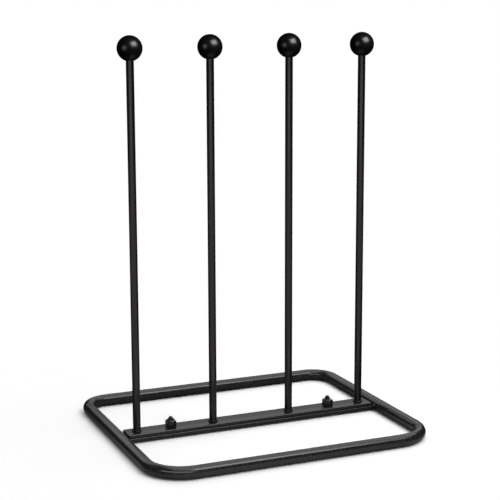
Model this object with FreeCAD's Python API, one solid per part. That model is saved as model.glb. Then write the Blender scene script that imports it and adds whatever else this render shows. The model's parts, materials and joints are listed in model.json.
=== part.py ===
import FreeCAD, Part
import math
import os

# A free-standing steel rack that holds boots upside down on upright rods.
#
# A round tube is bent to a rectangle that lies on the floor. A flat bar is welded across it.
# A second flat bar, with four rods welded into it, lies on the first and is bolted to it,
# and each rod ends in a ball knob that goes into the toe of a boot.
#
# Frame: +X to the right, +Y to the back, +Z up. The origin is on the floor, under the middle
# of the rack. All sizes are in millimetres.

Vector = FreeCAD.Vector
ORIGIN = Vector(0, 0, 0)
X_AXIS = Vector(1, 0, 0)
Y_AXIS = Vector(0, 1, 0)
Z_AXIS = Vector(0, 0, 1)
LEFT, RIGHT = -1, 1
CUT_MARGIN = 1.0  # how far a cutting tool runs past the face that it opens

# Base frame
frame_length = 388.0  # over the tube, left to right
frame_depth = 334.0  # over the tube, front to back
tube_diameter = 16.0
tube_wall = 1.5
front_bend_radius = 46.0  # to the tube's centre line
rear_bend_radius = 32.0
seam_width = 1.5  # butt weld between the tube's two ends

# Crossbars
bar_width = 28.0
bar_edge_radius = 0.8
lower_bar_thickness = 5.0
upper_bar_thickness = 5.0
floor_clearance = 2.4  # under the lower bar
lower_bar_end_gap = 0.2  # between the lower bar's end and the tube
upper_bar_end_gap = 2.5  # leaves room for the weld
upper_bar_corner_radius = 1.5  # of its four corners, seen from above

# Welds between the lower bar and the side tubes
crown_start_angle = 78.0  # where the bead leaves the tube, measured up from its flank
crown_bulge = 1.8
crown_shoulder = 0.2  # bead above the upper bar's top, at its end
bead_end_radius = 4.0
toe_radius = 2.8  # blob that closes each end of the bead
toe_overhang = 0.6  # its centre lies this far outside the bar's edge
weld_clearance = 0.4  # to the upper bar

# Rods
rod_diameter = 10.0
rod_chamfer = 0.6
outer_rod_inset = 15.0  # from the upper bar's end
inner_rod_spacing = 109.5  # between the two rods in the middle
rod_hole_clearance = 0.1
rod_weld_height = 2.0
rod_weld_width = 1.8
rod_weld_bulge = 0.3

# Ball knobs
rack_height = 518.0  # floor to the top of the balls
ball_diameter = 32.0
ball_mouth_land = 1.25  # flat ring round the rod
ball_socket_depth = 14.0  # how far the rod goes in
ball_socket_clearance = 0.1
ball_socket_end_gap = 0.5
drill_point_angle = 118.0

# Countersunk screws
thread_diameter = 8.0
screw_length = 24.0
screw_head_diameter = 16.0
screw_head_land = 0.3  # thickness of the head's rim
screw_recess = 0.1  # head below the bar's underside
screw_seat_gap = 0.05
screw_hole_clearance = 0.3
screw_from_outer_rod = 46.5
hex_key_size = 5.0
hex_key_depth = 3.0
screw_tip_diameter = 5.0
screw_tip_cone = 2.5
screw_tip_dome = 0.5

# Lock nuts
nut_across_flats = 13.0
nut_height = 9.5
nut_chamfer_angle = 30.0
nut_face_inset = 0.25  # the lower chamfer's circle lies this far inside the flats
nut_crown_angle = 40.0
nut_crown_inset = 0.9  # the crown's flat rim lies this far inside the flats
nut_lip_gap = 0.25  # from the thread to the lip over the nylon ring
nut_lip_thickness = 0.6
thread_clearance = 0.05

# Nylon rings in the nuts
insert_wall = 1.2
insert_height = 2.4
insert_clearance = 0.05

# Places that follow from the sizes
tube_radius = tube_diameter / 2
tube_axis_x = frame_length / 2 - tube_radius
tube_axis_y = frame_depth / 2 - tube_radius
tube_inner_x = tube_axis_x - tube_radius
lower_bar_top = floor_clearance + lower_bar_thickness
upper_bar_top = lower_bar_top + upper_bar_thickness
upper_bar_half_length = tube_inner_x - upper_bar_end_gap
outer_rod_x = upper_bar_half_length - outer_rod_inset
inner_rod_x = inner_rod_spacing / 2
screw_x = outer_rod_x - screw_from_outer_rod
rod_radius = rod_diameter / 2
ball_radius = ball_diameter / 2
ball_centre_z = rack_height - ball_radius
ball_mouth_radius = rod_radius + ball_mouth_land
ball_mouth_z = ball_centre_z - math.sqrt(ball_radius ** 2 - ball_mouth_radius ** 2)
rod_top = ball_mouth_z + ball_socket_depth
thread_radius = thread_diameter / 2
screw_hole_radius = thread_radius + screw_hole_clearance
screw_head_z = floor_clearance + screw_recess
nut_top = upper_bar_top + nut_height
nut_bore_radius = thread_radius + thread_clearance
insert_radius = nut_bore_radius + insert_wall
insert_seat_z = nut_top - nut_lip_thickness - insert_clearance - insert_height

ROD_PLACES = {
    "outer_left": -outer_rod_x,
    "inner_left": -inner_rod_x,
    "inner_right": inner_rod_x,
    "outer_right": outer_rod_x,
}
SCREW_PLACES = {"left": -screw_x, "right": screw_x}


def bulged_arc(start, end, bulge):
    """An arc from start to end that stands out by bulge, to the left of that direction."""
    chord = end - start
    outward = Y_AXIS.cross(chord).normalize() * -1
    crest = (start + end) * 0.5 + outward * bulge
    return Part.Arc(start, crest, end).toShape()


def outline(points):
    """Straight edges through points, each an (x, z) pair in the XZ plane."""
    corners = [Vector(x, 0, z) for x, z in points]
    return [Part.makeLine(a, b) for a, b in zip(corners, corners[1:])]


def face_from(edges):
    return Part.Face(Part.Wire(Part.__sortEdges__(edges)))


def edges_along(shape, axis):
    """The straight edges of a box that run along an axis."""
    parallel_tolerance = 1e-6
    return [edge for edge in shape.Edges if edge.tangentAt(0).isParallel(axis, parallel_tolerance)]


def revolved(edges, x):
    """A solid turned from a half outline about Z, and set upright at x."""
    solid = face_from(edges).revolve(ORIGIN, Z_AXIS, 360)
    solid.translate(Vector(x, 0, 0))
    return solid


def ring(outer_radius, inner_radius, bottom, height):
    """A plain ring about Z."""
    base = Vector(0, 0, bottom)
    outer = Part.makeCylinder(outer_radius, height, base, Z_AXIS)
    return outer.cut(Part.makeCylinder(inner_radius, height, base, Z_AXIS))


def hexagon_prism(across_flats, bottom, height):
    """A six-sided prism about Z, with two of its corners on the Y axis."""
    corner_radius = across_flats / 2 / math.cos(math.radians(30))
    corners = []
    for step in range(7):
        angle = math.radians(90 + 60 * step)
        corners.append(Vector(corner_radius * math.cos(angle), corner_radius * math.sin(angle), bottom))
    return Part.Face(Part.makePolygon(corners)).extrude(Vector(0, 0, height))


def frame_run():
    """The tube's centre line, from one side of the seam in the rear rail round to the other."""
    right, back = tube_axis_x, tube_axis_y
    front = -back
    height = tube_radius
    seam = seam_width / 2
    edges = []
    place = Vector(seam, back, height)
    # Each bend: the corner it rounds, its radius, and the directions in and out.
    bends = [
        (Vector(right, back, height), rear_bend_radius, X_AXIS, Y_AXIS * -1),
        (Vector(right, front, height), front_bend_radius, Y_AXIS * -1, X_AXIS * -1),
        (Vector(-right, front, height), front_bend_radius, X_AXIS * -1, Y_AXIS),
        (Vector(-right, back, height), rear_bend_radius, Y_AXIS, X_AXIS),
    ]
    for corner, radius, incoming, outgoing in bends:
        bend_start = corner - incoming * radius
        bend_end = corner + outgoing * radius
        bend_centre = bend_start + outgoing * radius
        bend_middle = bend_centre + (incoming - outgoing).normalize() * radius
        edges.append(Part.makeLine(place, bend_start))
        edges.append(Part.Arc(bend_start, bend_middle, bend_end).toShape())
        place = bend_end
    edges.append(Part.makeLine(place, Vector(-seam, back, height)))
    return Part.Wire(edges)


def swept_round(run, radius):
    """A solid of round section along the run of the frame."""
    section = Part.Wire(Part.makeCircle(radius, run.Vertexes[0].Point, X_AXIS))
    return run.makePipeShell([section], True, True)


def base_frame():
    run = frame_run()
    return swept_round(run, tube_radius).cut(swept_round(run, tube_radius - tube_wall))


def frame_seam_weld():
    """The butt weld that closes the loop, dressed flush with the tube."""
    weld = ring(tube_radius, tube_radius - tube_wall, -seam_width / 2, seam_width)
    weld.rotate(ORIGIN, Y_AXIS, 90)
    weld.translate(Vector(0, tube_axis_y, tube_radius))
    return weld


def flat_bar(half_length, bottom, thickness):
    """A rolled flat bar along X, with its four long edges rounded."""
    corner = Vector(-half_length, -bar_width / 2, bottom)
    bar = Part.makeBox(2 * half_length, bar_width, thickness, corner)
    return bar.makeFillet(bar_edge_radius, edges_along(bar, X_AXIS))


def upright_hole(radius, x, bottom, thickness):
    base = Vector(x, 0, bottom - CUT_MARGIN)
    return Part.makeCylinder(radius, thickness + 2 * CUT_MARGIN, base, Z_AXIS)


def countersink(x):
    """The cone under the screw's head, wider than the head by the seat gap."""
    bottom = floor_clearance - CUT_MARGIN
    cone_offset = screw_head_diameter / 2 + screw_seat_gap + screw_head_z + screw_head_land
    height = cone_offset - screw_hole_radius - bottom
    return Part.makeCone(cone_offset - bottom, screw_hole_radius, height, Vector(x, 0, bottom), Z_AXIS)


def lower_bar_blank():
    """The lower bar before it is drilled, sawn square to fit between the side tubes."""
    return flat_bar(tube_inner_x - lower_bar_end_gap, floor_clearance, lower_bar_thickness)


def lower_crossbar():
    bar = lower_bar_blank()
    for x in SCREW_PLACES.values():
        bar = bar.cut(upright_hole(screw_hole_radius, x, floor_clearance, lower_bar_thickness))
        bar = bar.cut(countersink(x))
    return bar


def upper_bar_blank():
    """The upper bar before it is drilled, with its corners rounded."""
    bar = flat_bar(upper_bar_half_length, lower_bar_top, upper_bar_thickness)
    corner = Vector(-upper_bar_half_length, -bar_width / 2, lower_bar_top - CUT_MARGIN)
    plan = Part.makeBox(2 * upper_bar_half_length, bar_width, upper_bar_thickness + 2 * CUT_MARGIN, corner)
    return bar.common(plan.makeFillet(upper_bar_corner_radius, edges_along(plan, Z_AXIS)))


def upper_crossbar():
    bar = upper_bar_blank()
    for x in ROD_PLACES.values():
        bar = bar.cut(upright_hole(rod_radius + rod_hole_clearance, x, lower_bar_top, upper_bar_thickness))
    for x in SCREW_PLACES.values():
        bar = bar.cut(upright_hole(screw_hole_radius, x, lower_bar_top, upper_bar_thickness))
    return bar


def room_for_upper_bar():
    """The block that the welds leave free, so that the upper bar drops in between them."""
    half_length = upper_bar_half_length + weld_clearance
    half_width = bar_width / 2 + weld_clearance
    corner = Vector(-half_length, -half_width, lower_bar_top)
    return Part.makeBox(2 * half_length, 2 * half_width, upper_bar_thickness + weld_clearance, corner)


def crossbar_weld(side):
    """The bead that fills the notch between a side tube and the lower bar's top.

    It is built at the left tube and mirrored for the right one.
    """
    angle = math.radians(crown_start_angle)
    crown_start = Vector(tube_radius * math.cos(angle), 0, tube_radius * math.sin(angle))
    wall_x = tube_axis_x - upper_bar_half_length - weld_clearance
    root_z = lower_bar_top - tube_radius
    shoulder_z = upper_bar_top + crown_shoulder - tube_radius
    crown_end = Vector(wall_x, 0, shoulder_z)
    edges = [bulged_arc(crown_start, crown_end, crown_bulge)]
    edges += outline([(wall_x, shoulder_z), (wall_x, root_z), (0, root_z), (0, crown_start.z),
                      (crown_start.x, crown_start.z)])
    bead = face_from(edges).extrude(Vector(0, bar_width, 0))
    bead.translate(Vector(-tube_axis_x, -bar_width / 2, tube_radius))

    # Seen from above, the bead's two corners beside the upper bar are round.
    plan_corner = Vector(-tube_axis_x - wall_x, -bar_width / 2, 0)
    plan = Part.makeBox(2 * wall_x, bar_width, 2 * tube_diameter, plan_corner)
    bead = bead.common(plan.makeFillet(bead_end_radius, edges_along(plan, Z_AXIS)))

    for end in (-1, 1):
        toe_place = Vector(-tube_inner_x, end * (bar_width / 2 + toe_overhang), lower_bar_top)
        bead = bead.fuse(Part.makeSphere(toe_radius, toe_place))

    tube_end = Vector(-tube_axis_x, -frame_depth / 2, tube_radius)
    side_tube = Part.makeCylinder(tube_radius, frame_depth, tube_end, Y_AXIS)
    bead = bead.cut(side_tube).cut(lower_bar_blank()).cut(room_for_upper_bar())
    if side == RIGHT:
        bead = bead.mirror(ORIGIN, X_AXIS)
    return bead


def rod(x):
    """A rod that stands in its hole in the upper bar and ends inside its ball."""
    profile = outline([(0, lower_bar_top), (rod_radius, lower_bar_top), (rod_radius, rod_top - rod_chamfer),
                       (rod_radius - rod_chamfer, rod_top), (0, rod_top), (0, lower_bar_top)])
    return revolved(profile, x)


def rod_weld(x):
    """The fillet weld round a rod's foot, on the upper bar."""
    foot = Vector(rod_radius + rod_weld_width, 0, upper_bar_top)
    top = Vector(rod_radius, 0, upper_bar_top + rod_weld_height)
    profile = [bulged_arc(top, foot, rod_weld_bulge)]
    profile += outline([(foot.x, foot.z), (rod_radius, upper_bar_top), (top.x, top.z)])
    return revolved(profile, x)


def ball_knob(x):
    """A ball with a flat mouth and a drilled socket for the rod."""
    ball = Part.makeSphere(ball_radius, Vector(x, 0, ball_centre_z))
    below_mouth = Part.makeBox(ball_diameter, ball_diameter, ball_radius,
                               Vector(x - ball_radius, -ball_radius, ball_mouth_z - ball_radius))
    bore_radius = rod_radius + ball_socket_clearance
    bore_top = rod_top + ball_socket_end_gap
    point_height = bore_radius / math.tan(math.radians(drill_point_angle / 2))
    bore_bottom = ball_mouth_z - CUT_MARGIN
    bore = Part.makeCylinder(bore_radius, bore_top - bore_bottom, Vector(x, 0, bore_bottom), Z_AXIS)
    point = Part.makeCone(bore_radius, 0, point_height, Vector(x, 0, bore_top), Z_AXIS)
    return ball.cut(below_mouth).cut(bore.fuse(point))


def countersunk_screw(x):
    """A screw with a hexagon socket, put in from under the lower bar."""
    head_radius = screw_head_diameter / 2
    rim_top = screw_head_z + screw_head_land
    cone_top = rim_top + head_radius - thread_radius
    tip = screw_head_z + screw_length
    dome_base = tip - screw_tip_dome
    tip_radius = screw_tip_diameter / 2
    profile = outline([(0, screw_head_z), (head_radius, screw_head_z), (head_radius, rim_top),
                       (thread_radius, cone_top), (thread_radius, dome_base - screw_tip_cone),
                       (tip_radius, dome_base)])
    dome_radius = (tip_radius ** 2 + screw_tip_dome ** 2) / (2 * screw_tip_dome)
    half_angle = math.asin(tip_radius / dome_radius) / 2
    dome_middle = Vector(dome_radius * math.sin(half_angle), 0,
                         tip - dome_radius * (1 - math.cos(half_angle)))
    profile.append(Part.Arc(Vector(tip_radius, 0, dome_base), dome_middle, Vector(0, 0, tip)).toShape())
    profile += outline([(0, tip), (0, screw_head_z)])
    socket = hexagon_prism(hex_key_size, screw_head_z - CUT_MARGIN, hex_key_depth + CUT_MARGIN)
    socket.translate(Vector(x, 0, 0))
    return revolved(profile, x).cut(socket)


def lock_nut(x):
    """A tall hexagon nut with a wide turned crown, whose lip holds a nylon ring in."""
    face_radius = nut_across_flats / 2 - nut_face_inset
    crown_radius = nut_across_flats / 2 - nut_crown_inset
    corner_radius = nut_across_flats / 2 / math.cos(math.radians(30))
    # The turned envelope that chamfers both ends is a little wider than the hexagon's corners.
    envelope_radius = corner_radius + CUT_MARGIN
    chamfer = (envelope_radius - face_radius) * math.tan(math.radians(nut_chamfer_angle))
    crown = (envelope_radius - crown_radius) * math.tan(math.radians(nut_crown_angle))
    body = hexagon_prism(nut_across_flats, upper_bar_top, nut_height)
    envelope = revolved(outline([(0, upper_bar_top), (face_radius, upper_bar_top),
                                 (envelope_radius, upper_bar_top + chamfer),
                                 (envelope_radius, nut_top - crown),
                                 (crown_radius, nut_top), (0, nut_top), (0, upper_bar_top)]), 0)

    thread = Part.makeCylinder(nut_bore_radius, insert_seat_z + CUT_MARGIN - upper_bar_top,
                               Vector(0, 0, upper_bar_top - CUT_MARGIN), Z_AXIS)
    pocket = Part.makeCylinder(insert_radius + insert_clearance, insert_height + insert_clearance,
                               Vector(0, 0, insert_seat_z), Z_AXIS)
    lip_radius = nut_bore_radius + nut_lip_gap
    throat = Part.makeCylinder(lip_radius, nut_top + CUT_MARGIN - insert_seat_z,
                               Vector(0, 0, insert_seat_z), Z_AXIS)
    nut = body.common(envelope).cut(thread).cut(pocket).cut(throat)
    nut.translate(Vector(x, 0, 0))
    return nut.removeSplitter()


def nylon_insert(x):
    """The ring that grips the thread, in its pocket under the nut's lip."""
    insert = ring(insert_radius, nut_bore_radius, insert_seat_z, insert_height)
    insert.translate(Vector(x, 0, 0))
    return insert


def all_pieces():
    pieces = {
        "base_frame": base_frame(),
        "frame_seam_weld": frame_seam_weld(),
        "lower_crossbar": lower_crossbar(),
        "upper_crossbar": upper_crossbar(),
        "crossbar_weld_left": crossbar_weld(LEFT),
        "crossbar_weld_right": crossbar_weld(RIGHT),
    }
    for place, x in ROD_PLACES.items():
        pieces["rod_" + place] = rod(x)
        pieces["rod_weld_" + place] = rod_weld(x)
        pieces["ball_knob_" + place] = ball_knob(x)
    for place, x in SCREW_PLACES.items():
        pieces["countersunk_screw_" + place] = countersunk_screw(x)
        pieces["lock_nut_" + place] = lock_nut(x)
        pieces["nylon_insert_" + place] = nylon_insert(x)
    return pieces


os.makedirs("parts", exist_ok=True)
for name, shape in all_pieces().items():
    shape.exportStep("parts/" + name + ".step")
    print(name, "solids", len(shape.Solids), "valid", shape.isValid(), "volume", round(shape.Volume, 1))
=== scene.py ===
# %% [markdown]
# # A boot rack, dressed for the picture
# The rack is a bent steel tube on the floor, two flat bars across it, four upright rods with a ball on
# each, four small welds at the rods' feet, two big welds at the bars' ends and two bolts with lock nuts.
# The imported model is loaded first. It says where every piece is, so nothing here has to be fitted.

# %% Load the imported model
import json
import math

import bmesh
import bpy
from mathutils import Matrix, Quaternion, Vector

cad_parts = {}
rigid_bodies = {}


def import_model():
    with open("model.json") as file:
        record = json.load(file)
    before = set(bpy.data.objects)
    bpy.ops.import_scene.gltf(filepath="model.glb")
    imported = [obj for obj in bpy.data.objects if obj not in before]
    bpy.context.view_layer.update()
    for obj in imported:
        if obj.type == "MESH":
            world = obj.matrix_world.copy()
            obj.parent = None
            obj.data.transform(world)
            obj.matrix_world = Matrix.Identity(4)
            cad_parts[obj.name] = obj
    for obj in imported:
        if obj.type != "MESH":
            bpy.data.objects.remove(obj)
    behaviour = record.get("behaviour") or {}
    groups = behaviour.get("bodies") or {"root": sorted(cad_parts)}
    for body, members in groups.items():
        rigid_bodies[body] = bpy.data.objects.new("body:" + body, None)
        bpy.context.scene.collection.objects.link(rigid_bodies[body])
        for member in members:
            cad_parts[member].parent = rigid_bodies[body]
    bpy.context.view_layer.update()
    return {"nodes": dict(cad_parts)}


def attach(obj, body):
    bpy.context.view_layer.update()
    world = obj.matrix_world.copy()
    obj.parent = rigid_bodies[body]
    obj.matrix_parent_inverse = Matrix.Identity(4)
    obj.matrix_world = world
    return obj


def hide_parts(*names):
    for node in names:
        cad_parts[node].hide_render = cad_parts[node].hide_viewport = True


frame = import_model()

# %% [markdown]
# ## Small helpers
# Blender's operators act on whatever is selected, and the loaded nodes are all selected. So each new
# piece begins with nothing selected. It gets its size and place as it is added, and they are applied at
# once, so that its object sits at the origin. Lengths are in metres, and mm is one millimetre.

# %% Helpers for starting a piece
mm = 0.001


def apply_place():
    """Moves a piece's place, turn and scale into its mesh."""
    bpy.ops.object.transform_apply(location=True, rotation=True, scale=True)


def start(name, add, **settings):
    """Adds a primitive at its size and place, and gives it its name."""
    bpy.ops.object.select_all(action="DESELECT")
    add(**settings)
    piece = bpy.context.object
    apply_place()
    piece.name = piece.data.name = name
    return piece


def alone(piece):
    """Selects this piece and nothing else."""
    bpy.ops.object.select_all(action="DESELECT")
    piece.select_set(True)
    bpy.context.view_layer.objects.active = piece


def shape(piece):
    """Opens this piece, and only this one, in edit mode."""
    alone(piece)
    bpy.ops.object.mode_set(mode="EDIT")


def measure(piece):
    """A piece's name, how many faces it has and how big it is, for the prints."""
    sizes = " x ".join(str(round(size / mm, 2)) for size in piece.dimensions)
    return f"{piece.name}: {len(piece.data.polygons)} faces, {sizes} mm"


# %% [markdown]
# By hand, points, edges and faces are clicked. In code they are picked by where they are or by what they
# are part of. Before a piece leaves edit mode its doubles are merged and its faces turned outwards.

# %% Helpers for work in edit mode, and for the shading after it
def pick(kind, test):
    """Selects the points, edges or faces whose middle and own data pass the test."""
    bpy.ops.mesh.select_mode(type=kind)
    bpy.ops.mesh.select_all(action="DESELECT")
    mesh = bmesh.from_edit_mesh(bpy.context.object.data)
    for part in {"VERT": mesh.verts, "EDGE": mesh.edges, "FACE": mesh.faces}[kind]:
        corners = [part] if kind == "VERT" else list(part.verts)
        middle = sum((corner.co for corner in corners), Vector()) / len(corners)
        if test(middle, part):
            part.select_set(True)
    mesh.select_flush_mode()
    bmesh.update_edit_mesh(bpy.context.object.data)


def pick_all():
    """Selects all of the piece that is open."""
    bpy.ops.mesh.select_all(action="SELECT")


def extrude(x=0.0, y=0.0, z=0.0):
    """Draws the selected rim or face out by this much. The new end stays selected."""
    bpy.ops.mesh.extrude_region_move(TRANSFORM_OT_translate={"value": (x, y, z)})


def done():
    """Closes edit mode, with doubles merged and all faces turned outwards."""
    pick_all()
    bpy.ops.mesh.remove_doubles(threshold=0.001 * mm)
    bpy.ops.mesh.normals_make_consistent(inside=False)
    bpy.ops.object.mode_set(mode="OBJECT")


def smooth(piece, angle=30):
    """Shades the faces smooth, but keeps each crease that is sharper than the angle."""
    alone(piece)
    bpy.ops.object.shade_smooth_by_angle(angle=math.radians(angle))


# %% [markdown]
# ## The frame tube
# On the real rack this is one length of round steel tube, bent cold at four corners. The front corners
# are bent wider than the rear ones. It could be a curve with a round bevel, or a torus cut apart. Here it
# is made as the bender makes it: a circle is drawn out along each straight run and spun round each bend.

# %% Draw out and bend the tube
tube_radius = 8 * mm
tube_x = 186 * mm
tube_y = 159 * mm
front_bend = 46 * mm
rear_bend = 32 * mm
seam = 1.5 * mm
tube_sides = 64
steps_per_bend = 28
tube = start("frame_tube", bpy.ops.mesh.primitive_circle_add, vertices=tube_sides, radius=tube_radius,
             location=(seam / 2, tube_y, tube_radius), rotation=(0, math.pi / 2, 0))
shape(tube)
pick_all()


def bend(x, y):
    """Spins the open end a quarter turn, clockwise seen from above."""
    bpy.ops.mesh.spin(steps=steps_per_bend, angle=math.pi / 2, center=(x, y, tube_radius), axis=(0, 0, 1))


extrude(x=tube_x - rear_bend - seam / 2)
bend(tube_x - rear_bend, tube_y - rear_bend)
extrude(y=rear_bend + front_bend - 2 * tube_y)
bend(tube_x - front_bend, front_bend - tube_y)
extrude(x=2 * (front_bend - tube_x))
bend(front_bend - tube_x, front_bend - tube_y)
extrude(y=2 * tube_y - rear_bend - front_bend)
bend(rear_bend - tube_x, tube_y - rear_bend)
extrude(x=tube_x - rear_bend - seam / 2)
bpy.ops.mesh.select_mode(type="EDGE")
bpy.ops.mesh.select_all(action="DESELECT")
bpy.ops.mesh.select_non_manifold(use_wire=False, use_multi_face=False)
bpy.ops.mesh.edge_face_add()
done()
smooth(tube)
print(measure(tube))

# %% [markdown]
# The two ends of the tube meet in the middle of the rear rail, where a butt weld closes the ring. It is
# ground flush, so it is a narrow band as thick as the tube, with its two edges rounded off.

# %% The ground seam
seam_round = 0.3 * mm
seam_weld = start("frame_seam", bpy.ops.mesh.primitive_cylinder_add, vertices=tube_sides,
                  radius=tube_radius, depth=seam, location=(0, tube_y, tube_radius),
                  rotation=(0, math.pi / 2, 0))
shape(seam_weld)
pick("EDGE", lambda middle, edge: abs(middle.x) > 0.4 * seam)
bpy.ops.mesh.bevel(offset=seam_round, segments=3, affect="EDGES")
done()
smooth(seam_weld, 60)
print(measure(seam_weld))

# %% [markdown]
# ## The two flat bars
# Rolled flat steel, 28 by 5 mm, with its long edges rounded by the rollers. Its section could be drawn and
# swept along, but a cube with bevelled edges has its ends closed from the start. It gets rings of points
# along its length, so that its faces and edges can be as uneven as rolled steel is under a thick coat.

# %% A rolled flat bar
bar_width = 28 * mm
bar_bottom = 2.4 * mm
bar_joint = 7.4 * mm
bar_top = 12.4 * mm
bar_edge = 1.8 * mm
bar_rings = 90


def flat_bar(name, half_length, bottom, top, corner):
    """A bar that lies across the frame, with rounded edges and slightly uneven faces."""
    bar = start(name, bpy.ops.mesh.primitive_cube_add, size=1, location=(0, 0, (bottom + top) / 2),
                scale=(2 * half_length, bar_width, top - bottom))
    shape(bar)
    pick("EDGE", lambda middle, edge: abs(edge.verts[0].co.z - edge.verts[1].co.z) > mm)
    bpy.ops.mesh.bevel(offset=corner, segments=5, affect="EDGES")
    pick("EDGE", lambda middle, edge: min(abs(middle.z - bottom), abs(middle.z - top)) < 0.01 * mm)
    bpy.ops.mesh.bevel(offset=bar_edge, segments=6, affect="EDGES")
    pick("EDGE", lambda middle, edge: abs(edge.verts[0].co.x - edge.verts[1].co.x) > half_length)
    bpy.ops.mesh.subdivide(number_cuts=bar_rings)
    done()
    return bar


lower_bar = flat_bar("lower_bar", half_length=177.8 * mm, bottom=bar_bottom, top=bar_joint, corner=0.5 * mm)
upper_bar = flat_bar("upper_bar", half_length=175.5 * mm, bottom=bar_joint, top=bar_top, corner=1.5 * mm)
print(measure(lower_bar), measure(upper_bar), sep="\n")

# %% [markdown]
# The rollers leave the steel a little uneven. A cloud texture moves the points in and out along their
# normals, by no more than a tenth of a millimetre. It has soft spots of about 9 mm, so the bar's edges
# waver gently, and its finer marks are left to the finish.

# %% Uneven faces and edges
mill = bpy.data.textures.new("mill_unevenness", "CLOUDS")
mill.noise_scale = 0.009
mill.noise_depth = 2
for bar in (lower_bar, upper_bar):
    alone(bar)
    rolled = bar.modifiers.new("rolled", "DISPLACE")
    rolled.texture, rolled.texture_coords = mill, "LOCAL"
    rolled.strength, rolled.mid_level = 0.12 * mm, 0.75
    bpy.ops.object.modifier_apply(modifier=rolled.name)
    print("rolled:", measure(bar))

# %% [markdown]
# The upper bar is drilled for the rods and the bolts, and the lower bar for the bolts, with a countersink
# from below for their heads. A drill is a cylinder, taken away with a boolean, as in the shop.

# %% Drill and countersink
rod_x = (-160.5 * mm, -54.75 * mm, 54.75 * mm, 160.5 * mm)
rod_hole = 5.1 * mm
bolt_x = (-114 * mm, 114 * mm)
bolt_hole = 4.3 * mm


def carve(piece, kind, cutter):
    """Applies a boolean of this kind, and throws the cutter away."""
    alone(piece)
    boolean = piece.modifiers.new("boolean", "BOOLEAN")
    boolean.operation, boolean.object, boolean.solver = kind, cutter, "EXACT"
    bpy.ops.object.modifier_apply(modifier=boolean.name)
    bpy.data.objects.remove(cutter)


def drill(x, radius, low, high):
    """A round cutter along Z."""
    return start("drill", bpy.ops.mesh.primitive_cylinder_add, vertices=48, radius=radius,
                 depth=high - low, location=(x, 0, (low + high) / 2))


sink_wide, sink_narrow, sink_depth, sink_middle = 9.15 * mm, 4.05 * mm, 5.1 * mm, 4.15 * mm
for x in rod_x:
    carve(upper_bar, "DIFFERENCE", drill(x, rod_hole, 6 * mm, 14 * mm))
for x in bolt_x:
    carve(upper_bar, "DIFFERENCE", drill(x, bolt_hole, 6 * mm, 14 * mm))
    carve(lower_bar, "DIFFERENCE", drill(x, bolt_hole, 1 * mm, 9 * mm))
    countersink = start("countersink", bpy.ops.mesh.primitive_cone_add, vertices=48, radius1=sink_wide,
                        radius2=sink_narrow, depth=sink_depth, location=(x, 0, sink_middle))
    carve(lower_bar, "DIFFERENCE", countersink)
smooth(lower_bar, 35)
smooth(upper_bar, 35)
print("drilled:", measure(lower_bar), "and", measure(upper_bar))

# %% [markdown]
# ## The welds at the bars' ends
# Each end of the lower bar is welded to the tube with one thick bead, which fills the notch between them
# and closes round the bar's edges with a blob. A welder lays a bead drop by drop, so it has a ripple for
# every drop. Bump alone would leave its outline straight, so a circle is drawn out along the bead, a drop
# at a time, swelling and shrinking a little, and its front is bowed as a drop's is.

# %% Lay the bead, drop by drop
bead_x = -181.85 * mm
bead_z = 9.76 * mm
bead_radius = 6.45 * mm
bead_drop = 1.6 * mm
bead_drops = 17
bead_end = bead_drop * bead_drops / 2


def grow(size, y):
    """Makes the open end of the bead thicker or thinner."""
    bpy.ops.transform.resize(value=(size, 1, size), center_override=(bead_x, y, bead_z))


bead = start("crossbar_bead_left", bpy.ops.mesh.primitive_circle_add, vertices=48, radius=bead_radius,
             location=(bead_x, -bead_end, bead_z), rotation=(math.pi / 2, 0, 0))
shape(bead)
bow = 0.35 * mm
for height in (0.3, 0.75):
    pick("VERT", lambda middle, point: middle.z > bead_z + height * bead_radius)
    bpy.ops.transform.translate(value=(0, bow, 0))
pick_all()
drop_shape = ((1.028, 0.3), (1.008, 0.3), (1 / 1.008, 0.25), (1 / 1.028, 0.15))
along = -bead_end
for _ in range(bead_drops):
    for size, step in drop_shape:
        extrude(y=step * bead_drop)
        along += step * bead_drop
        grow(size, along)
done()
print(measure(bead))

# %% [markdown]
# The two open ends of the bead are drawn out and narrowed to a round nose.

# %% Close the ends of the bead
nose_shape = ((0.5, 0.95), (0.45, 0.9), (0.35, 0.8), (0.2, 0.6))
shape(bead)
for side in (-1, 1):
    pick("VERT", lambda middle, point: side * middle.y > bead_end - 0.02 * bead_drop and point.is_boundary)
    place = side * bead_end
    for step, size in nose_shape:
        extrude(y=side * step * mm)
        place += side * step * mm
        grow(size, place)
    bpy.ops.mesh.edge_face_add()
done()
print("closed:", measure(bead))

# %% [markdown]
# A blob of weld metal closes round each edge of the bar. The blobs are spheres, and a fine remesh with a
# little smoothing melts them and the bead into one piece.

# %% Melt on the blobs
blob_radius = 2.75 * mm
blobs = [start("blob", bpy.ops.mesh.primitive_uv_sphere_add, segments=32, ring_count=16, radius=blob_radius,
               location=(-178 * mm, side * 14.6 * mm, bar_joint)) for side in (-1, 1)]
alone(bead)
for blob in blobs:
    blob.select_set(True)
bpy.ops.object.join()
melt = bead.modifiers.new("melt", "REMESH")
melt.mode, melt.voxel_size = "VOXEL", 0.3 * mm
bpy.ops.object.modifier_apply(modifier=melt.name)
settle = bead.modifiers.new("settle", "SMOOTH")
settle.factor, settle.iterations = 0.5, 3
bpy.ops.object.modifier_apply(modifier=settle.name)
print("with its blobs:", measure(bead))

# %% [markdown]
# The room that the tube and the two bars take is cut away, so that the bead lies in its notch and doesn't
# run through its neighbours.

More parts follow.
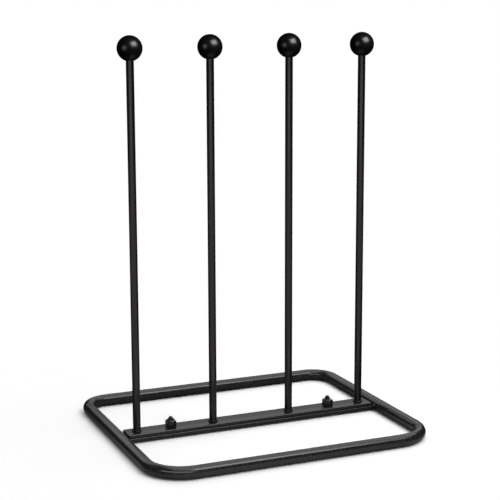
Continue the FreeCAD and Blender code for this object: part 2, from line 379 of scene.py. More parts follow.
# %% Fit the bead into its notch
carve(bead, "DIFFERENCE", start("tube_room", bpy.ops.mesh.primitive_cylinder_add, vertices=128,
                                radius=tube_radius, depth=60 * mm, location=(-tube_x, 0, tube_radius),
                                rotation=(math.pi / 2, 0, 0)))
rooms = {"lower_bar_room": ((-167.8 * mm, 0, 0), (20 * mm, 28 * mm, 14.8 * mm)),
         "upper_bar_room": ((-165.9 * mm, 0, 17.4 * mm), (20 * mm, 28.8 * mm, 20 * mm))}
for name, (middle, size) in rooms.items():
    carve(bead, "DIFFERENCE", start(name, bpy.ops.mesh.primitive_cube_add, size=1, location=middle,
                                    scale=size))
smooth(bead, 40)
print("fitted:", measure(bead))

# %% [markdown]
# The bead at the right end is a mirrored copy with a mesh of its own. Mirroring turns a mesh inside out,
# so its normals are made consistent again.

# %% Copy and mirror the bead
def copy(piece, name, x=0.0):
    """A copy with its own mesh, moved along X."""
    twin = piece.copy()
    twin.data = piece.data.copy()
    bpy.context.scene.collection.objects.link(twin)
    twin.name = twin.data.name = name
    alone(twin)
    bpy.ops.transform.translate(value=(x, 0, 0))
    apply_place()
    return twin


other_bead = copy(bead, "crossbar_bead_right")
bpy.ops.transform.resize(value=(-1, 1, 1), center_override=(0, 0, 0))
apply_place()
shape(other_bead)
done()
print(measure(other_bead))

# %% [markdown]
# ## The welds at the rods' feet
# A small weld runs once round each rod: a low ring with a steep side and a rounded shoulder. A torus would
# be round all over, so the ring is spun from a profile round the rod's axis. The profile is a little plane
# stood on edge, sunk a hair into the rod and the bar, with its outer top corner rounded.

# %% Spin a weld round a rod's foot
rod_radius = 5 * mm
fillet_width = 1.4 * mm
fillet_height = 2 * mm
sunk = 0.05 * mm
profile_middle = Vector((rod_radius + fillet_width / 2 - sunk, 0, bar_top + fillet_height / 2 - sunk))
fillet = start("rod_fillet_outer_left", bpy.ops.mesh.primitive_plane_add, size=1,
               rotation=(math.pi / 2, 0, 0), location=profile_middle)
shape(fillet)
pick_all()
bpy.ops.transform.resize(value=(fillet_width, 1, fillet_height), center_override=profile_middle)
pick("VERT", lambda middle, point: middle.x > rod_radius + mm and middle.z > bar_top + mm)
bpy.ops.mesh.bevel(offset=0.9 * mm, segments=5, affect="VERTICES")
pick_all()
bpy.ops.mesh.delete(type="ONLY_FACE")
pick_all()
bpy.ops.mesh.spin(steps=96, angle=2 * math.pi, center=(0, 0, 0), axis=(0, 0, 1))
pick_all()
bpy.ops.mesh.remove_doubles(threshold=0.01 * mm)
done()
print(measure(fillet))

# %% [markdown]
# The ring is pushed out a little at twelve places, which gives the drops of weld metal. It is modelled
# round the middle of the rack and then set out: moved to the first rod, and copied to the other three.

# %% Raise the drops and set the welds out
weld_drops = 12
shape(fillet)
for drop in range(weld_drops):
    angle = 2 * math.pi * drop / weld_drops
    towards = Vector((math.cos(angle), math.sin(angle), 0))
    pick("VERT", lambda middle, point: middle.xy.angle(towards.xy) < math.radians(7)
         and middle.xy.length > rod_radius + 0.3 * mm)
    bpy.ops.transform.translate(value=towards * 0.09 * mm)
done()
smooth(fillet, 60)
rod_names = ("outer_left", "inner_left", "inner_right", "outer_right")


def set_out(piece, kind, names, places):
    """Moves a piece from the middle to its first place, and copies it to the others."""
    alone(piece)
    bpy.ops.transform.translate(value=(places[0], 0, 0))
    apply_place()
    row = [piece] + [copy(piece, kind + name, x - places[0]) for name, x in zip(names[1:], places[1:])]
    print(*map(measure, row), sep="\n")
    return row


fillets = set_out(fillet, "rod_fillet_", rod_names, rod_x)

# %% [markdown]
# ## The balls
# Moulded plastic balls, 32 mm, each with a blind hole that the rod's end sits in and a narrow flat ring
# round the mouth of the hole. A ball could be spun from a half circle, but a fine sphere is ready made. It
# is cut flat at the mouth, the cut face is inset and pushed up into the ball, and the mouth's edge is
# broken.

# %% A ball with its mouth
ball_radius = 16 * mm
ball_z = 502 * mm
mouth_radius = 6.25 * mm
mouth_z = ball_z - math.sqrt(ball_radius ** 2 - mouth_radius ** 2)
ball = start("ball_outer_left", bpy.ops.mesh.primitive_uv_sphere_add, segments=96, ring_count=64,
             radius=ball_radius, location=(0, 0, ball_z))
shape(ball)
pick_all()
bpy.ops.mesh.bisect(plane_co=(0, 0, mouth_z), plane_no=(0, 0, 1), use_fill=True, clear_inner=True)
pick("FACE", lambda middle, face: face.normal.z < -0.99 and abs(middle.z - mouth_z) < 0.01 * mm)
ring_width = 1.15 * mm
socket_depth = 14.5 * mm
bpy.ops.mesh.inset(thickness=ring_width)
extrude(z=socket_depth)
pick("EDGE", lambda middle, edge: all(abs(point.co.z - mouth_z) < 0.01 * mm for point in edge.verts)
     and len(edge.link_faces) == 2 and edge.calc_face_angle(0) > 0.3)
bpy.ops.mesh.bevel(offset=0.25 * mm, segments=3, affect="EDGES")
done()
smooth(ball, 30)
print("the ball's mouth is", round(mouth_z / mm, 2), "mm above the floor")
balls = set_out(ball, "ball_", rod_names, rod_x)

# %% [markdown]
# ## The bolts
# M8 screws with a flat countersunk head and a hexagon socket, put in from below. Only the rounded tip
# shows above the nut, with the last turns of its thread. A thread can be made by screwing a zigzag round
# an axis, but its ends stay open. Here the shank is a circle set a third of a millimetre off its axis. It
# is drawn out in small steps and turned at each one, so its bulge climbs round the shank as a thread does.

# %% The head and the shank
head_z = 2.5 * mm
head_radius = 8 * mm
bolt = start("bolt_left", bpy.ops.mesh.primitive_circle_add, vertices=48, radius=head_radius,
             fill_type="NGON", location=(0, 0, head_z))
shape(bolt)
pick_all()


def resize_end(size):
    """Makes the open end of the bolt wider or narrower about its axis."""
    bpy.ops.transform.resize(value=(size, size, 1), center_override=(0, 0, 0))


rim, cone, plain = 0.3 * mm, 4 * mm, 12.2 * mm
shank_radius = 4 * mm
core_radius = 3.66 * mm
extrude(z=rim)
extrude(z=cone)
resize_end(shank_radius / head_radius)
extrude(z=plain)
resize_end(core_radius / shank_radius)
bpy.ops.transform.translate(value=(shank_radius - core_radius, 0, 0))
print("thread starts", round((rim + cone + plain) / mm, 2), "mm above the head's face")

# %% [markdown]
# Sixteen small steps make one turn of the thread. Near the tip the bolt is coned, and a few shorter and
# narrower steps close it with a dome.

# %% Wind the thread and close the tip
thread_pitch = 1.25 * mm
steps_per_turn = 16
thread_end = 25.95 * mm
taper_start = 23.5 * mm
taper = 0.6
rise = thread_pitch / steps_per_turn
height = head_z + rim + cone + plain
while height < thread_end:
    extrude(z=rise)
    bpy.ops.transform.rotate(value=2 * math.pi / steps_per_turn, orient_axis="Z", center_override=(0, 0, 0))
    height += rise
    if height > taper_start:
        resize_end(1 - taper * rise / (shank_radius - taper * (height - taper_start)))
dome_shape = ((0.15, 0.85), (0.18, 0.75), (0.14, 0.5))
for step, size in dome_shape:
    extrude(z=step * mm)
    resize_end(size)
done()
print(measure(bolt))

# %% [markdown]
# The socket for the hexagon key is a six-sided cutter, and a narrow bevel breaks its edge and the head's.

# %% The key's socket
key_half_width = 2.5 * mm
key = start("key", bpy.ops.mesh.primitive_cylinder_add, vertices=6,
            radius=key_half_width / math.cos(math.pi / 6), depth=6 * mm, location=(0, 0, head_z))
carve(bolt, "DIFFERENCE", key)
shape(bolt)
pick("EDGE", lambda middle, edge: middle.z < head_z + 0.01 * mm and edge.calc_face_angle(0) > 1)
bpy.ops.mesh.bevel(offset=0.12 * mm, segments=2, affect="EDGES")
done()
smooth(bolt, 40)
sides = ("left", "right")
bolts = set_out(bolt, "bolt_", sides, bolt_x)

# %% [markdown]
# ## The lock nuts
# A tall hexagon nut is cut from hexagon bar and turned at both ends. Below, that gives the small chamfers
# that bite into its corners, and above, the wide crown that shines as a ring. So a six-sided cylinder is
# crossed with a turned body, whose two ends are inset and pushed in.

# %% The hexagon and its turned ends
nut_bottom = bar_top
nut_top = 21.9 * mm
nut_half_width = 6.5 * mm
corner = nut_half_width / math.cos(math.pi / 6)
turned_radius = corner + 0.1 * mm
nut = start("nut_left", bpy.ops.mesh.primitive_cylinder_add, vertices=6, radius=corner,
            depth=nut_top - nut_bottom, location=(0, 0, (nut_bottom + nut_top) / 2))
turned = start("turned", bpy.ops.mesh.primitive_cylinder_add, vertices=96, radius=turned_radius,
               depth=nut_top - nut_bottom, location=(0, 0, (nut_bottom + nut_top) / 2))
shape(turned)
for end, flat_radius, slope in ((nut_bottom, 6.25 * mm, 30), (nut_top, 5.6 * mm, -40)):
    pick("FACE", lambda middle, face: abs(middle.z - end) < 0.01 * mm)
    bpy.ops.mesh.inset(thickness=turned_radius - flat_radius)
    pick("VERT", lambda middle, point: abs(middle.z - end) < 0.01 * mm and middle.xy.length > corner)
    push = (turned_radius - flat_radius) * math.tan(math.radians(slope))
    bpy.ops.transform.translate(value=(0, 0, push))
done()
carve(nut, "INTERSECT", turned)
print(measure(nut))

# %% [markdown]
# The thread's bore, the pocket for the nylon ring and the throat in the lip above it are drilled. A soft
# bevel breaks all sharp edges, as tumbling and plating do.

# %% Bore, pocket and throat
bore, pocket, throat = 4.05 * mm, 5.3 * mm, 4.3 * mm
for radius, low, high in ((bore, 10, 20), (pocket, 18.85, 21.3), (throat, 21, 30)):
    carve(nut, "DIFFERENCE", drill(0, radius, low * mm, high * mm))
soft = nut.modifiers.new("soft_edges", "BEVEL")
soft.width, soft.segments = 0.16 * mm, 3
soft.limit_method, soft.angle_limit = "ANGLE", math.radians(25)
alone(nut)
bpy.ops.object.modifier_apply(modifier=soft.name)
smooth(nut, 35)
nuts = set_out(nut, "nut_", sides, bolt_x)

# %% [markdown]
# ## Finishes
# Nothing on the rack is plain. The steel wears a satin black powder coat with orange peel and a fine
# grain, the balls are moulded plastic and the bolts and nuts are black zinc, rubbed at the edges. Each
# effect that more than one finish uses is a node group, built once, and the shader itself stays in the
# material. First come a few small helpers, because wiring by hand is long in code.

# %% Helpers for wiring nodes
def feed(tree, socket, value):
    """Wires a socket to another node's output, or gives it a plain value."""
    if isinstance(value, bpy.types.NodeSocket):
        tree.links.new(value, socket)
    else:
        socket.default_value = value


def node(tree, kind, inputs=None, **choices):
    """Adds a shader node, makes its choices and feeds its inputs."""
    new = tree.nodes.new("ShaderNode" + kind)
    for name, value in choices.items():
        setattr(new, name, value)
    for name, value in (inputs or {}).items():
        feed(tree, new.inputs[name], value)
    return new


def reckon(tree, operation, *values):
    """Works out one number from one to three others."""
    return node(tree, "Math", dict(enumerate(values)), operation=operation).outputs[0]


def remap(tree, value, low, high, to_low=0.0, to_high=1.0, kind="LINEAR"):
    """Stretches the range from low to high to a new one. What lies outside stops at its ends."""
    ends = {"Value": value, "From Min": low, "From Max": high, "To Min": to_low, "To Max": to_high}
    return node(tree, "MapRange", ends, interpolation_type=kind).outputs["Result"]


# %% [markdown]
# A group has a place and some sizes as its knobs, and puts out masks and heights. A texture's scale is
# how many spots go into a metre, so it is one over the size of a spot.

# %% Helpers for node groups
def effect(name, knobs, results):
    """Starts a node group with named inputs and outputs."""
    tree = bpy.data.node_groups.new(name, "ShaderNodeTree")
    tree.interface.new_socket("Place", in_out="INPUT", socket_type="NodeSocketVector")
    for knob in knobs:
        tree.interface.new_socket(knob, in_out="INPUT", socket_type="NodeSocketFloat")
    for result in results:
        tree.interface.new_socket(result, in_out="OUTPUT", socket_type="NodeSocketFloat")
    return tree, tree.nodes.new("NodeGroupInput").outputs, tree.nodes.new("NodeGroupOutput").inputs


def spots(tree, place, size, kind="TexNoise", **settings):
    """A texture in space whose spots have this size."""
    scale = reckon(tree, "DIVIDE", 1.0, size)
    return node(tree, kind, {"Vector": place, "Scale": scale, **settings}).outputs


def apply_effect(tree, group, **knobs):
    """Puts a node group into a material and feeds its inputs. Underscores stand for spaces."""
    placed = tree.nodes.new("ShaderNodeGroup")
    placed.node_tree = group
    for knob, value in knobs.items():
        feed(tree, placed.inputs[knob.replace("_", " ")], value)
    return placed.outputs


# %% [markdown]
# ### Orange peel and grain
# Powder melts into a film that isn't quite flat: soft ripples of two or three millimetres, as on an
# orange, with a fine grain of a quarter of a millimetre on them. A texture image could show that, but
# noise in space needs no unwrapping and has the same size on every piece. All heights are in metres.

# %% Group: uneven_film
uneven_film, knob, result = effect("uneven_film", ("Ripple Size", "Ripple Depth", "Grain Size",
                                                   "Grain Depth"), ("Height", "Ripple", "Grain"))
heights = []
for layer, detail in (("Ripple", 1.0), ("Grain", 2.0)):
    noise = spots(uneven_film, knob["Place"], knob[layer + " Size"], Detail=detail)["Fac"]
    uneven_film.links.new(noise, result[layer])
    heights.append(reckon(uneven_film, "MULTIPLY", noise, knob[layer + " Depth"]))
uneven_film.links.new(reckon(uneven_film, "ADD", *heights), result["Height"])
print("uneven_film:", len(uneven_film.nodes), "nodes")

# %% [markdown]
# ### Streaks
# Rolled bars and drawn rods keep faint lengthwise marks, which still show in the gloss of the coat. The
# material squeezes its coordinates along the piece, so round noise becomes long streaks. The group only
# raises the contrast, so that there are clear streaks with calm steel between them.

# %% Group: long_streaks
long_streaks, knob, result = effect("long_streaks", ("Width", "Share"), ("Streak",))
noise = spots(long_streaks, knob["Place"], knob["Width"], Detail=3.0, Roughness=0.6)["Fac"]
calm = reckon(long_streaks, "SUBTRACT", 1.0, knob["Share"])
clear = reckon(long_streaks, "ADD", calm, 0.3)
streaks = remap(long_streaks, noise, calm, clear, kind="SMOOTHSTEP")
long_streaks.links.new(streaks, result["Streak"])
print("long_streaks:", len(long_streaks.nodes), "nodes")

# %% [markdown]
# ### Specks
# A few grains of powder melt late and stay as tiny glossy specks, and plastic and plating have specks of
# their own. Each cell of a Voronoi texture has a random number, and only the cells whose number is under
# the share get a dot in their middle.

# %% Group: fine_specks
fine_specks, knob, result = effect("fine_specks", ("Spacing", "Share"), ("Speck",))
cells = spots(fine_specks, knob["Place"], knob["Spacing"], kind="TexVoronoi")
luck = node(fine_specks, "SeparateColor", {"Color": cells["Color"]}).outputs["Red"]
chosen = reckon(fine_specks, "LESS_THAN", luck, knob["Share"])
dot = remap(fine_specks, cells["Distance"], 0.3, 0.12, kind="SMOOTHSTEP")
fine_specks.links.new(reckon(fine_specks, "MULTIPLY", dot, chosen), result["Speck"])
print("fine_specks:", len(fine_specks.nodes), "nodes")

# %% [markdown]
# ### Rubbed edges
# Plating and plastic wear first where an edge stands out. The Bevel node gives the normal as if the edge
# were rounded. Near an edge it turns away from the real normal, so the angle between the two says how
# close the edge is. Noise makes the worn line ragged.

# %% Group: rubbed_edges
rubbed_edges, knob, result = effect("rubbed_edges", ("Reach", "Patch Size", "Amount"), ("Rubbed",))
rounded = node(rubbed_edges, "Bevel", {"Radius": knob["Reach"]}, samples=6).outputs["Normal"]
real = node(rubbed_edges, "NewGeometry").outputs["Normal"]
same = node(rubbed_edges, "VectorMath", {0: rounded, 1: real}, operation="DOT_PRODUCT").outputs["Value"]
near = remap(rubbed_edges, same, 0.998, 0.9)
noise = spots(rubbed_edges, knob["Place"], knob["Patch Size"], Detail=3.0)["Fac"]
ragged = reckon(rubbed_edges, "MULTIPLY", near, remap(rubbed_edges, noise, 0.35, 0.6))
rubbed_edges.links.new(reckon(rubbed_edges, "MULTIPLY", ragged, knob["Amount"]), result["Rubbed"])
print("rubbed_edges:", len(rubbed_edges.nodes), "nodes")

# %% [markdown]
# ### A finish
# Every finish starts with a Principled shader and the piece's own coordinates, and ends with a colour, a
# roughness and a height. The height goes through a Bump node, which only tilts the normal.

# %% Helpers for finishes
def new_finish(name):
    """A new material, its tree, its shader and the piece's own coordinates."""
    material = bpy.data.materials.new(name)
    material.use_nodes = True
    tree = material.node_tree
    return material, tree, tree.nodes["Principled BSDF"], node(tree, "TexCoord").outputs["Object"]


def mix_colours(tree, share, first, second):
    """Mixes two colours, each given as red, green and blue."""
    ends = {"Factor": share, "A": (*first, 1), "B": (*second, 1)}
    return node(tree, "Mix", ends, data_type="RGBA").outputs["Result"]


def wire_up(tree, shader, colour, roughness, height):
    """Feeds the shader its colour and its roughness, and its normal from a height in metres."""
    feed(tree, shader.inputs["Base Color"], colour)
    feed(tree, shader.inputs["Roughness"], roughness)
    bump = node(tree, "Bump", {"Height": height, "Distance": 1.0, "Strength": 1.0})
    feed(tree, shader.inputs["Normal"], bump.outputs["Normal"])


# %% [markdown]
# ### Satin black powder coat
# The same coat is on all the steel, but what lies under it shows: the tube is drawn, the bars are rolled
# along X, the rods are drawn along Z and the welds are bare lumps of melt on which the film runs thicker
# and glossier. One function makes the four variants from the same groups. The coat's colour is almost
# black, and nearly all that the eye sees of it is gloss.

# %% Powder coat
def powder_coat(name, black, roughness, ripple, grain, squeeze, streak_width, streak_depth, clouds):
    """A black coat over drawn, rolled or welded steel."""
    coat, tree, shader, place = new_finish(name)
    film = apply_effect(tree, uneven_film, Place=place, Ripple_Size=2.6 * mm, Ripple_Depth=ripple,
                        Grain_Size=0.3 * mm, Grain_Depth=grain)
    squeezed = node(tree, "Mapping", {"Vector": place, "Scale": squeeze}).outputs["Vector"]
    streak = apply_effect(tree, long_streaks, Place=squeezed, Width=streak_width, Share=0.5)["Streak"]
    speck = apply_effect(tree, fine_specks, Place=place, Spacing=1.1 * mm, Share=0.08)["Speck"]

    cloudy = remap(tree, film["Ripple"], 0.35, 0.65, to_high=clouds)
    tone = reckon(tree, "MULTIPLY_ADD", reckon(tree, "MAXIMUM", streak, speck), 0.4, cloudy)
    colour = mix_colours(tree, tone, [0.7 * part for part in black], [2.2 * part for part in black])
    patchy = remap(tree, film["Ripple"], 0.3, 0.7, roughness - 0.03, roughness + 0.03)
    dull = reckon(tree, "MULTIPLY_ADD", streak, 0.05, patchy)
    raised = reckon(tree, "MULTIPLY_ADD", speck, 0.001 * mm, film["Height"])
    sunk = reckon(tree, "MULTIPLY_ADD", streak, -streak_depth, raised)
    wire_up(tree, shader, colour, dull, sunk)
    return coat


# %% [markdown]
# On the drawn tube the streaks are so wide that they are no more than soft patches. The bars and the rods
# are squeezed along their length. The rods are the smoothest and the darkest of the four.

# %% The four coats
tube_coat = powder_coat("tube_coat", black=(0.015, 0.015, 0.015), roughness=0.17, ripple=0.026 * mm,
                        grain=0.0015 * mm, squeeze=(1, 1, 1), streak_width=14 * mm,
                        streak_depth=0.006 * mm, clouds=0.55)
bar_coat = powder_coat("bar_coat", black=(0.016, 0.016, 0.016), roughness=0.21, ripple=0.015 * mm,
                       grain=0.0014 * mm, squeeze=(0.03, 1, 1), streak_width=1.6 * mm,
                       streak_depth=0.008 * mm, clouds=0.35)
rod_coat = powder_coat("rod_coat", black=(0.006, 0.0056, 0.0047), roughness=0.2, ripple=0.004 * mm,
                       grain=0.0003 * mm, squeeze=(1, 1, 0.03), streak_width=1.2 * mm,
                       streak_depth=0.001 * mm, clouds=0.15)
weld_coat = powder_coat("weld_coat", black=(0.010, 0.010, 0.010), roughness=0.16, ripple=0.016 * mm,
                        grain=0.001 * mm, squeeze=(1, 1, 1), streak_width=2.5 * mm,
                        streak_depth=0.004 * mm, clouds=0.3)
print("coats:", tube_coat.name, bar_coat.name, rod_coat.name, weld_coat.name)

# %% [markdown]
# ### Moulded plastic, black zinc and nylon
# The balls are a deep black plastic, polished in the mould. Their gloss has faint cloudy patches and the
# finest grain. The rim of the mouth is a little rubbed.

# %% Ball plastic
ball_plastic, tree, shader, place = new_finish("ball_plastic")
film = apply_effect(tree, uneven_film, Place=place, Ripple_Size=7 * mm, Ripple_Depth=0.006 * mm,
                    Grain_Size=0.25 * mm, Grain_Depth=0.0006 * mm)
rub = apply_effect(tree, rubbed_edges, Place=place, Reach=0.5 * mm, Patch_Size=1.5 * mm,
                   Amount=0.6)["Rubbed"]
speck = apply_effect(tree, fine_specks, Place=place, Spacing=1.3 * mm, Share=0.06)["Speck"]
marks = reckon(tree, "MAXIMUM", rub, speck)
colour = mix_colours(tree, marks, (0.0022, 0.0022, 0.0024), (0.012, 0.012, 0.013))
cloudy = remap(tree, film["Ripple"], 0.3, 0.7, 0.27, 0.32)
wire_up(tree, shader, colour, reckon(tree, "MULTIPLY_ADD", marks, 0.15, cloudy), film["Height"])
shader.inputs["Specular IOR Level"].default_value = 0.3
print(ball_plastic.name + ":", len(tree.nodes), "nodes")

# %% [markdown]
# Black zinc is a thin dark film on bright zinc. It has fine turning marks and a mottled gloss, and where
# the wrench and the thread rub, the metal under it comes through. So the edge mask drives both the colour
# and Metallic.

# %% Black zinc
black_zinc, tree, shader, place = new_finish("black_zinc")
film = apply_effect(tree, uneven_film, Place=place, Ripple_Size=1.1 * mm, Ripple_Depth=0.004 * mm,
                    Grain_Size=0.15 * mm, Grain_Depth=0.0008 * mm)
flat = node(tree, "Mapping", {"Vector": place, "Scale": (0.15, 0.15, 1)}).outputs["Vector"]
turning = apply_effect(tree, long_streaks, Place=flat, Width=0.25 * mm, Share=0.6)["Streak"]
rub = apply_effect(tree, rubbed_edges, Place=place, Reach=0.45 * mm, Patch_Size=0.9 * mm,
                   Amount=0.9)["Rubbed"]
colour = mix_colours(tree, rub, (0.015, 0.015, 0.016), (0.32, 0.32, 0.34))
mottled = remap(tree, film["Ripple"], 0.3, 0.7, 0.15, 0.24)
dull = reckon(tree, "MULTIPLY_ADD", turning, 0.06, mottled)
wire_up(tree, shader, colour, dull, reckon(tree, "MULTIPLY_ADD", turning, -0.0015 * mm, film["Height"]))
feed(tree, shader.inputs["Metallic"], rub)
print(black_zinc.name + ":", len(tree.nodes), "nodes")

# %% [markdown]
# The nylon rings are turned from dark rod and only peep out under the nuts' lips. They are dull and a
# little uneven, as soft plastic is after a cut.

# %% Nylon
dark_nylon, tree, shader, place = new_finish("dark_nylon")
film = apply_effect(tree, uneven_film, Place=place, Ripple_Size=0.8 * mm, Ripple_Depth=0.006 * mm,
                    Grain_Size=0.12 * mm, Grain_Depth=0.001 * mm)
colour = mix_colours(tree, film["Ripple"], (0.02, 0.02, 0.028), (0.04, 0.04, 0.05))
wire_up(tree, shader, colour, remap(tree, film["Grain"], 0, 1, 0.45, 0.65), film["Height"])
print(dark_nylon.name + ":", len(tree.nodes), "nodes")

# %% [markdown]
# ## Put the pieces on the rack
# Each new piece rides on the rack's one body and stands for the node of the imported model that it
# replaces. The rods and the nylon rings keep their packed shapes, which are right already, and only get a
# finish.

# %% Dress and place every piece
def dress(piece, finish, slot, *nodes):
    """Gives a new piece its finish and its place on the rack."""
    piece.data.materials.clear()
    piece.data.materials.append(finish)
    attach(piece, "root")
    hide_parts(*nodes)


def redress(name, finish):
    """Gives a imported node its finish."""
    kept = frame["nodes"][name]
    kept.data.materials.clear()
    kept.data.materials.append(finish)


dress(tube, tube_coat, "frame_coat", "base_frame")
dress(seam_weld, weld_coat, "frame_coat", "frame_seam_weld")
dress(lower_bar, bar_coat, "frame_coat", "lower_crossbar")
dress(upper_bar, bar_coat, "frame_coat", "upper_crossbar")
dress(bead, weld_coat, "frame_coat", "crossbar_weld_left")
dress(other_bead, weld_coat, "frame_coat", "crossbar_weld_right")
for piece, name in zip(fillets, rod_names):
    dress(piece, weld_coat, "frame_coat", "rod_weld_" + name)
for piece, name in zip(balls, rod_names):
    dress(piece, ball_plastic, "ball_knob", "ball_knob_" + name)
for piece, side in zip(bolts, sides):
    dress(piece, black_zinc, "fastener", "countersunk_screw_" + side)
for piece, side in zip(nuts, sides):
    dress(piece, black_zinc, "fastener", "lock_nut_" + side)
for name in rod_names:
    redress("rod_" + name, rod_coat)
for side in sides:
    redress("nylon_insert_" + side, dark_nylon)
steel = [tube, seam_weld, lower_bar, upper_bar, bead, other_bead]
print("new pieces:", len(steel + fillets + balls + bolts + nuts), "packed ones:", len(rod_names + sides))

# %% [markdown]
# ## The camera
# It looks from the left of square-on and a little above, with a long lens, as a catalogue picture does.
# A camera looks along its own -Z, so it is turned until its +Z points back from the rack.

# %% Camera
camera_place = Vector((-0.6666, -1.5591, 0.5621))
camera_back = Vector((-0.3866, -0.9043, 0.1810))
camera_roll = -0.003
bpy.ops.object.camera_add(location=camera_place)
camera = bpy.context.object
camera.rotation_mode = "QUATERNION"
level = (-camera_back).to_track_quat("-Z", "Y")
camera.rotation_quaternion = level @ Quaternion((0, 0, 1), camera_roll)
camera.data.sensor_width = 36
camera.data.lens = 95.0155
camera.data.shift_x = -0.00107
camera.data.shift_y = -0.0181
bpy.context.scene.camera = camera
print("camera:", round(camera.data.lens, 1), "mm lens,", round(camera_place.length, 2), "m away")

# %% [markdown]
# ## The floor
# A wide matte white floor. To the camera, to gloss and through glass it is a touch over white, so that it
# runs into the white background, and it still takes the rack's shadow. Further out it turns into plain
# white light, so that no horizon shows. To everything else it is a mid grey, which keeps the light level
# plain.

# %% Floor
def bare_material(name):
    """A new material with an empty tree."""
    material = bpy.data.materials.new(name)
    material.use_nodes = True
    material.node_tree.nodes.clear()
    return material, material.node_tree


def seen(tree):
    """1 where the camera, a mirror or glass looks, and 0 for all other light."""
    path = node(tree, "LightPath").outputs
    mirrored = reckon(tree, "MAXIMUM", path["Is Glossy Ray"], path["Is Transmission Ray"])
    return reckon(tree, "MAXIMUM", path["Is Camera Ray"], mirrored)


def from_middle(tree, place):
    """How far a place is from the middle of the rack's base."""
    return node(tree, "VectorMath", {0: place}, operation="LENGTH").outputs["Value"]


floor_grey = 0.5
floor_gain = 1.13
fade_start = 0.2
fade_end = 0.46
floor = start("floor", bpy.ops.mesh.primitive_plane_add, size=12, location=(0, 0, 0))
floor_paint, tree = bare_material("floor_paint")
shows = seen(tree)
matte = node(tree, "BsdfDiffuse", {"Color": mix_colours(tree, shows, 3 * (floor_grey,), 3 * (floor_gain,))})
away = from_middle(tree, node(tree, "TexCoord").outputs["Object"])
bright = reckon(tree, "MULTIPLY", remap(tree, away, fade_start, fade_end, kind="SMOOTHSTEP"), shows)
glow = node(tree, "Emission", {"Strength": 1.0})
blend = node(tree, "MixShader", {"Fac": bright, 1: matte.outputs[0], 2: glow.outputs[0]})
node(tree, "OutputMaterial", {"Surface": blend.outputs[0]})
floor.data.materials.append(floor_paint)
print(measure(floor))

# %% [markdown]
# The world is dim as a light, and plain white where the camera, a mirror or glass looks past the rack.

# %% World
world_light = 0.12
world = bpy.data.worlds.new("studio")
bpy.context.scene.world = world
world.use_nodes = True
tree = world.node_tree
sky = tree.nodes["Background"].inputs
sky["Color"].default_value = (1, 1, 1, 1)
feed(tree, sky["Strength"], remap(tree, seen(tree), 0, 1, world_light, 1.0))
print("world:", world.name, "lights with", world_light)

# %% [markdown]
# ## Lamps
# A black glossy thing is lit by what it mirrors, so the lamps are large soft boxes, and what counts is
# where each one shows in the steel. A soft box is placed by the direction that it stands in, as azimuth
# and elevation in degrees: azimuth 0 is behind the rack, 90 to its right. Its power follows from its
# size, so that radiance is how bright it looks.

# %% A soft box
light_target = Vector((0, 0, 0.2))


def direction(azimuth, elevation):
    """The unit vector towards a place in the studio."""
    a, e = math.radians(azimuth), math.radians(elevation)
    return Vector((math.sin(a) * math.cos(e), math.cos(a) * math.cos(e), math.sin(e)))


def soft_box(name, only, towards, size, radiance, distance=2.2):
    """A flat lamp that looks at the rack. It lights only the pieces of one collection."""
    place = light_target + distance * direction(*towards)
    width, height = size
    bpy.ops.object.light_add(type="AREA", location=place)
    lamp = bpy.context.object
    lamp.name = lamp.data.name = name
    lamp.data.shape, lamp.data.size, lamp.data.size_y = "RECTANGLE", width, height
    lamp.data.energy = radiance * math.pi * width * height
    lamp.visible_camera = False
    lamp.rotation_mode = "QUATERNION"
    lamp.rotation_quaternion = (light_target - place).to_track_quat("-Z", "Y")
    lamp.light_linking.receiver_collection = only
    print(name + ":", round(lamp.data.energy, 2), "W on", only.name)
    return lamp


# %% [markdown]
# The balls and the rods mirror much more of the room than the low frame does, and the small bevels of the
# nuts mirror almost none. So they have lamps of their own, and the big boxes light only what is low. In a
# studio, black cards and small spots do the same. Each lamp gets the collection of what it may light.

# %% Collections for the lamps
def lit_group(name, keep):
    """A collection of the pieces that pass the test, for a lamp that lights only them."""
    group = bpy.data.collections.new(name)
    for piece in bpy.context.scene.objects:
        if piece.type == "MESH" and keep(piece.name):
            group.objects.link(piece)
    return group


is_ball = ("ball_",)
is_rod = ("rod_outer", "rod_inner")
is_fastener = ("nut_", "bolt_", "nylon_")
balls_only = lit_group("balls_only", lambda name: name.startswith(is_ball))
rods_only = lit_group("rods_only", lambda name: name.startswith(is_rod))
fasteners_only = lit_group("fasteners_only", lambda name: name.startswith(is_fastener))
low_parts = lit_group("low_parts", lambda name: not name.startswith(is_ball + is_rod))
steel_frame = lit_group("steel_frame", lambda name: not name.startswith(is_ball + is_rod + is_fastener))
tube_only = lit_group("tube_only", lambda name: name.startswith("frame_"))

# %% [markdown]
# The key stands in front on the right, and a wide box overhead draws the light tops of the rails. Low
# boxes in front and behind give their sides a soft grey. A long low box for the bent tube alone draws the
# streak round its front left bend.

# %% Lamps for the frame and the bars
soft_box("key_light", low_parts, towards=(153, 48), size=(0.85, 0.85), radiance=4.2)
soft_box("overhead_light", low_parts, towards=(110, 74), size=(2.6, 2.6), radiance=1.6, distance=1.7)
soft_box("front_fill_light", steel_frame, towards=(200, 12), size=(3.0, 0.8), radiance=0.45)
soft_box("back_low_light", steel_frame, towards=(30, 9), size=(1.6, 0.7), radiance=0.32)
soft_box("back_high_light", steel_frame, towards=(14, 35), size=(3.6, 1.35), radiance=0.88)
soft_box("bend_light", tube_only, towards=(214, 26), size=(3.5, 0.5), radiance=3.4)

# %% [markdown]
# The camera stands at azimuth 203 and looks down on the rods, so they mirror the floor in front of them. A
# lamp that lies there, face up, and a low panel beyond it draw the grey stripe down the middle of each
# rod, and leave its flanks dark. Two boxes on the left and the right light the flanks a little.

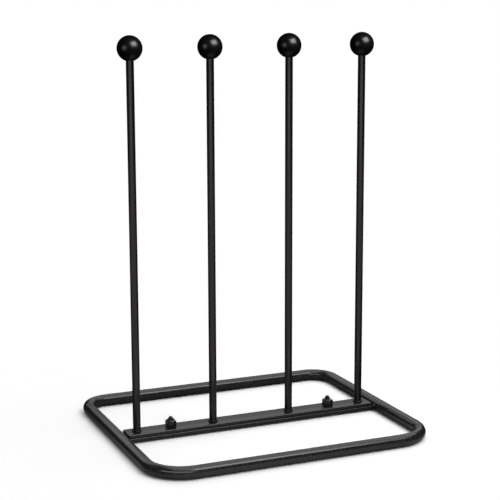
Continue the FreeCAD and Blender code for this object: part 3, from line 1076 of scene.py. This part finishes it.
# %% Lamps for the rods
camera_side = 203
soft_box("rod_right_light", rods_only, towards=(165, 40), size=(1.0, 1.0), radiance=5)
soft_box("rod_left_light", rods_only, towards=(240, 40), size=(1.0, 1.0), radiance=5)
soft_box("rod_low_light", rods_only, towards=(camera_side, 0), size=(5, 0.4), radiance=1.5, distance=3.4)
floor_light = soft_box("rod_floor_light", rods_only, towards=(camera_side, -4.94), size=(4.6, 4.2),
                       radiance=0.58, distance=2.3)
floor_light.data.color = (1, 0.97, 0.9)
face_up = Quaternion((1, 0, 0), math.pi)
floor_light.rotation_quaternion = Quaternion((0, 0, 1), -math.radians(camera_side)) @ face_up

# %% [markdown]
# The nuts get one box from behind, which the faces turned to the right and the crowns catch, and a weaker
# one beside it. The balls get a strong box high in front for the round highlight, and one on the left.

# %% Lamps for the nuts and the balls
soft_box("nut_light", fasteners_only, towards=(50, 20), size=(1.6, 1.5), radiance=6)
soft_box("nut_fill_light", fasteners_only, towards=(-8, 22), size=(1.2, 1.5), radiance=1.2)
soft_box("ball_key_light", balls_only, towards=(155, 46), size=(1.6, 1.3), radiance=14)
soft_box("ball_side_light", balls_only, towards=(-113, 14), size=(0.95, 0.9), radiance=3.2, distance=2.0)

# %% [markdown]
# Cards that only gloss can see give the steel its dark flanks: a black tent all round, and a grey cloth
# on the floor, painted lighter in front of the rack than behind it as painted light in its reflections.
# Neither of them lights or shades anything.

# %% Cards for the reflections
def gloss_only(card, material):
    """Gives a card its material and hides it from everything but reflections."""
    card.data.materials.append(material)
    for ray in ("camera", "diffuse", "shadow", "transmission", "volume_scatter"):
        setattr(card, "visible_" + ray, False)


tent = start("black_tent", bpy.ops.mesh.primitive_uv_sphere_add, segments=64, ring_count=32, radius=4.5,
             location=(0, 0, 0))
black_cloth, tree = bare_material("black_cloth")
node(tree, "OutputMaterial", {"Surface": node(tree, "Emission", {"Strength": 0.0}).outputs[0]})
gloss_only(tent, black_cloth)
print(measure(tent))

# %% [markdown]
# The cloth is matte and takes the rack's shadow, so the gloss goes dark where the steel nears the floor.
# Its grey is a painted reflection: lightest in front as painted light, and darker past the side rails and
# further out as painted shade.

# %% Grey cloth
cloth = start("grey_cloth", bpy.ops.mesh.primitive_circle_add, vertices=96, radius=4.4, fill_type="NGON",
              location=(0, 0, 0.2 * mm))
grey_cloth, tree = bare_material("grey_cloth")
place = node(tree, "TexCoord").outputs["Object"]
front = node(tree, "VectorMath", {0: place, 1: direction(camera_side, 0)}, operation="DOT_PRODUCT")
# Painted light: the grey is lighter in front of the rack than behind it.
painted_front_light = remap(tree, front.outputs["Value"], -0.15, 0.3, 0.15, 0.8, kind="SMOOTHSTEP")
sideways = reckon(tree, "ABSOLUTE", node(tree, "SeparateXYZ", {"Vector": place}).outputs["X"])
# Painted shade: the grey is darker past the side rails, and darker further out from the rack's middle.
painted_rail_shade = remap(tree, sideways, 0.17, 0.22, 1.0, 0.3)
near = remap(tree, from_middle(tree, place), 0.18, 0.42, 1.0, 0.03, kind="SMOOTHSTEP")
shade = reckon(tree, "MULTIPLY", reckon(tree, "MULTIPLY", painted_front_light, painted_rail_shade), near)
matte = node(tree, "BsdfDiffuse", {"Color": shade})
node(tree, "OutputMaterial", {"Surface": matte.outputs[0]})
gloss_only(cloth, grey_cloth)
for group in (low_parts, steel_frame):
    group.objects.link(cloth)
print(measure(cloth))

# %% [markdown]
# The picture shows the colours as they are, with no film curve over them.

# %% Plain picture values
bpy.context.scene.view_settings.view_transform = "Standard"
print("view transform:", bpy.context.scene.view_settings.view_transform)
